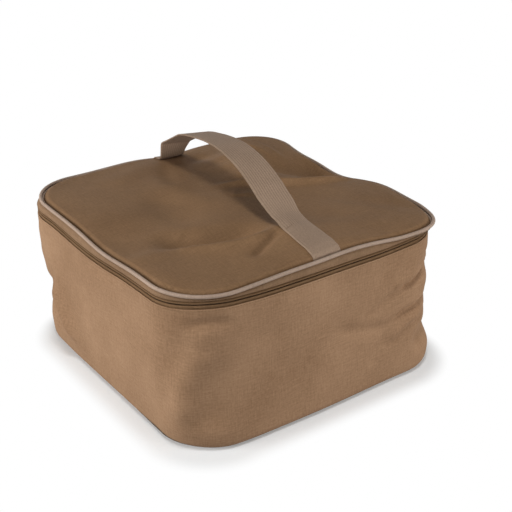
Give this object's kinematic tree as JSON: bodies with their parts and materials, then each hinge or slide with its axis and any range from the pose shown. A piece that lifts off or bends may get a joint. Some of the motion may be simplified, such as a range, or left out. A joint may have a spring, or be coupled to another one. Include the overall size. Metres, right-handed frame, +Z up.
{
  "type": "gas canister bag",
  "caption": "Square padded cloth carry bag for gas canisters, with rounded corners, a piped lid that zips round three sides and a webbing handle arched over it.",
  "frame": {"origin": "middle of the base, on the surface that the bag stands on", "axes": "+Z up, -Y to the front, +Y to the side where the lid folds, +X to the right; the handle runs along X and the zip sliders meet on the left side"},
  "size_m": [0.3446, 0.3428, 0.2344],
  "materials": {
    "cloth": "matt woven cloth",
    "lid_cloth": "matt woven cloth, slightly shinier",
    "lining": "thin smooth lining cloth",
    "foam": "open-cell foam",
    "board": "pressed fibre or plastic board",
    "piping": "ribbed woven edging",
    "webbing": "ribbed woven webbing",
    "tape": "woven zip tape",
    "coil": "moulded nylon coil",
    "slider": "painted die-cast zinc"
  },
  "bodies": {
    "bag": {"wall_cloth": "cloth", "back_cloth": "cloth", "base_cloth": "cloth", "base_board": "board", "base_lining": "lining", "wall_foam": "foam", "wall_lining": "lining", "base_seam_binding": "piping", "zip_tape_lower": "tape", "zip_coil_lower": "coil"},
    "lid": {"lid_rim_cloth": "cloth", "lid_fold_cloth": "cloth", "lid_cloth": "lid_cloth", "lid_foam": "foam", "lid_lining": "lining", "lid_piping": "piping", "lid_piping_cord": "board", "zip_tape_upper": "tape", "zip_coil_upper": "coil", "handle_end_right": "webbing", "handle_end_left": "webbing"},
    "handle": {"handle_strap": "webbing"},
    "slider_front": {"zip_slider_front": "slider"},
    "pull_front": {"pull_tab_front": "slider"},
    "slider_rear": {"zip_slider_rear": "slider"},
    "pull_rear": {"pull_tab_rear": "slider"}
  },
  "joints": [
    {"name": "lid_open", "type": "hinge", "parent": "bag", "child": "lid", "pos_m": [0, 0.17, 0.1582], "axis": [-1, 0, 0], "range_deg": [0, 170]},
    {"name": "handle_lean", "type": "hinge", "parent": "lid", "child": "handle", "pos_m": [0, 0, 0.1885], "axis": [1, 0, 0], "range_deg": [-55, 55], "stiffness_Nm_per_rad": 0.05},
    {"name": "slider_front_travel", "type": "slide", "parent": "bag", "child": "slider_front", "axis": [0, -1, 0], "range_m": [0, 0.098]},
    {"name": "slider_rear_travel", "type": "slide", "parent": "bag", "child": "slider_rear", "axis": [0, 1, 0], "range_m": [0, 0.098]},
    {"name": "pull_front_swing", "type": "hinge", "parent": "slider_front", "child": "pull_front", "pos_m": [-0.1715, -0.0064, 0.1582], "axis": [0, 0, -1], "range_deg": [0, 150]},
    {"name": "pull_rear_swing", "type": "hinge", "parent": "slider_rear", "child": "pull_rear", "pos_m": [-0.1715, 0.0064, 0.1582], "axis": [0, 0, 1], "range_deg": [0, 150]}
  ]
}
